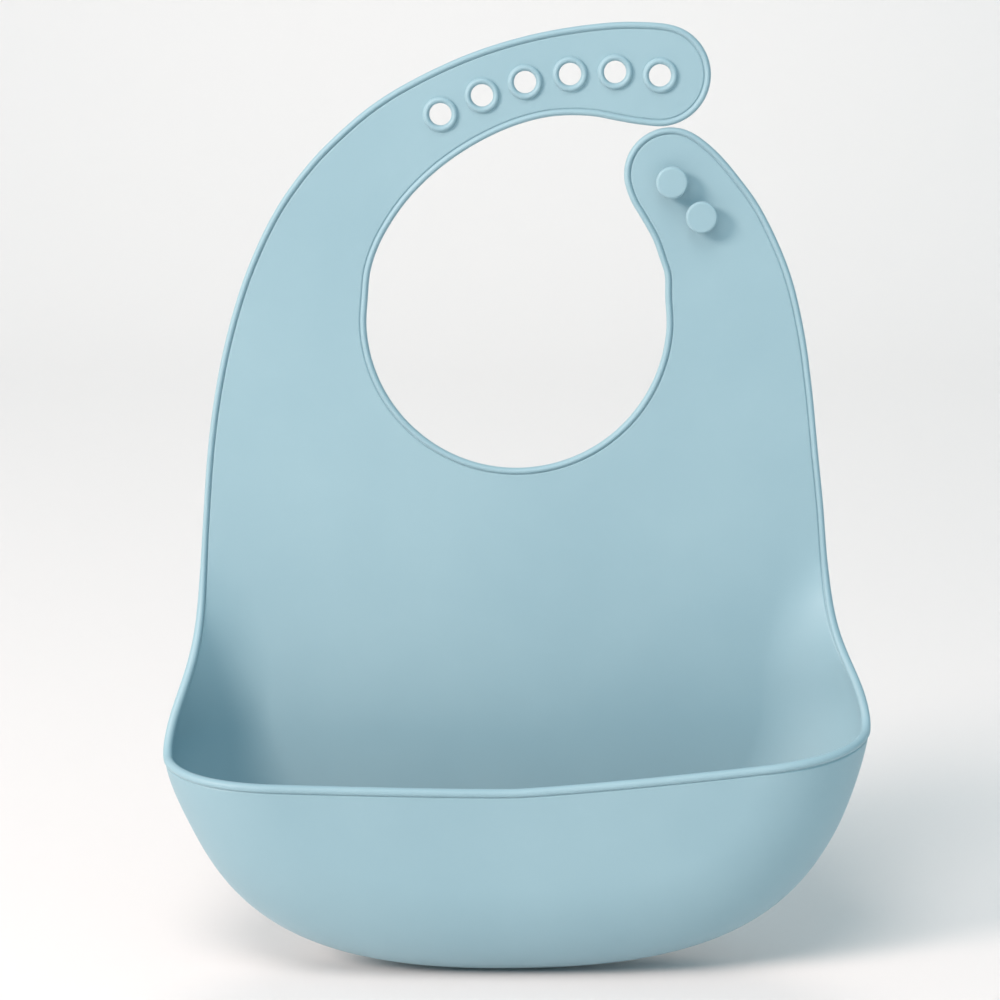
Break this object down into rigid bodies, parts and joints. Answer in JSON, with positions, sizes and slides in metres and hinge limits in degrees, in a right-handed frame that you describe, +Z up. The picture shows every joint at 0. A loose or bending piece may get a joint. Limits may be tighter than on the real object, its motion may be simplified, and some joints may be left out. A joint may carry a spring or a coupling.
{
  "type": "silicone bib",
  "caption": "Soft silicone baby bib with a crumb pocket, a long strap with eyelets and a short strap with studs.",
  "frame": {"origin": "centre of the neck opening, in the middle of the sheet's thickness", "axes": "upright as worn: +Z up, the front with the pocket faces -Y, the strap with the eyelets is on -X"},
  "size_m": [0.2178, 0.054, 0.2889],
  "materials": {
    "silicone": "satin, food-grade silicone"
  },
  "bodies": {
    "chest": {"chest_panel": "silicone", "neck_bead": "silicone", "chest_bead_left": "silicone", "chest_bead_right": "silicone"},
    "belly": {"belly_panel": "silicone", "pocket_back_wall": "silicone", "pocket_floor": "silicone", "side_bead_left": "silicone", "side_bead_right": "silicone"},
    "pocket_front": {"pocket_front_wall": "silicone", "pocket_lip_bead": "silicone"},
    "long_root": {"long_strap_root": "silicone", "long_root_bead_inner": "silicone", "long_root_bead_outer": "silicone"},
    "long_middle": {"long_strap_middle": "silicone", "long_middle_bead_inner": "silicone", "long_middle_bead_outer": "silicone", "eyelet_1": "silicone", "eyelet_2": "silicone", "eyelet_3": "silicone"},
    "long_tip": {"long_strap_tip": "silicone", "long_tip_bead": "silicone", "eyelet_4": "silicone", "eyelet_5": "silicone", "eyelet_6": "silicone"},
    "short": {"short_strap": "silicone", "short_strap_bead": "silicone", "stud_upper": "silicone", "stud_lower": "silicone"}
  },
  "joints": [
    {"name": "panel_fold", "type": "hinge", "parent": "chest", "child": "belly", "pos_m": [0, 0, -0.06], "axis": [-1, 0, 0], "range_deg": [-30, 90], "stiffness_Nm_per_rad": 0.8},
    {"name": "lip_flex", "type": "hinge", "parent": "belly", "child": "pocket_front", "pos_m": [0, -0.0476, -0.1655], "axis": [1, 0, 0], "range_deg": [-12, 18], "stiffness_Nm_per_rad": 0.2},
    {"name": "long_root_bend", "type": "hinge", "parent": "chest", "child": "long_root", "pos_m": [-0.0635, 0, 0.016], "axis": [-1, 0, 0], "range_deg": [-30, 80], "stiffness_Nm_per_rad": 0.3},
    {"name": "long_middle_bend", "type": "hinge", "parent": "long_root", "child": "long_middle", "pos_m": [-0.0321, 0, 0.0516], "axis": [-0.5736, 0, 0.8192], "range_deg": [-30, 55], "stiffness_Nm_per_rad": 0.2},
    {"name": "long_tip_bend", "type": "hinge", "parent": "long_middle", "child": "long_tip", "pos_m": [0.00905, 0, 0.07363], "axis": [-0.1736, 0, 0.9848], "range_deg": [-30, 55], "stiffness_Nm_per_rad": 0.1},
    {"name": "short_bend", "type": "hinge", "parent": "chest", "child": "short", "pos_m": [0.0645, 0, 0.016], "axis": [-1, 0, 0], "range_deg": [-30, 80], "stiffness_Nm_per_rad": 0.2}
  ]
}
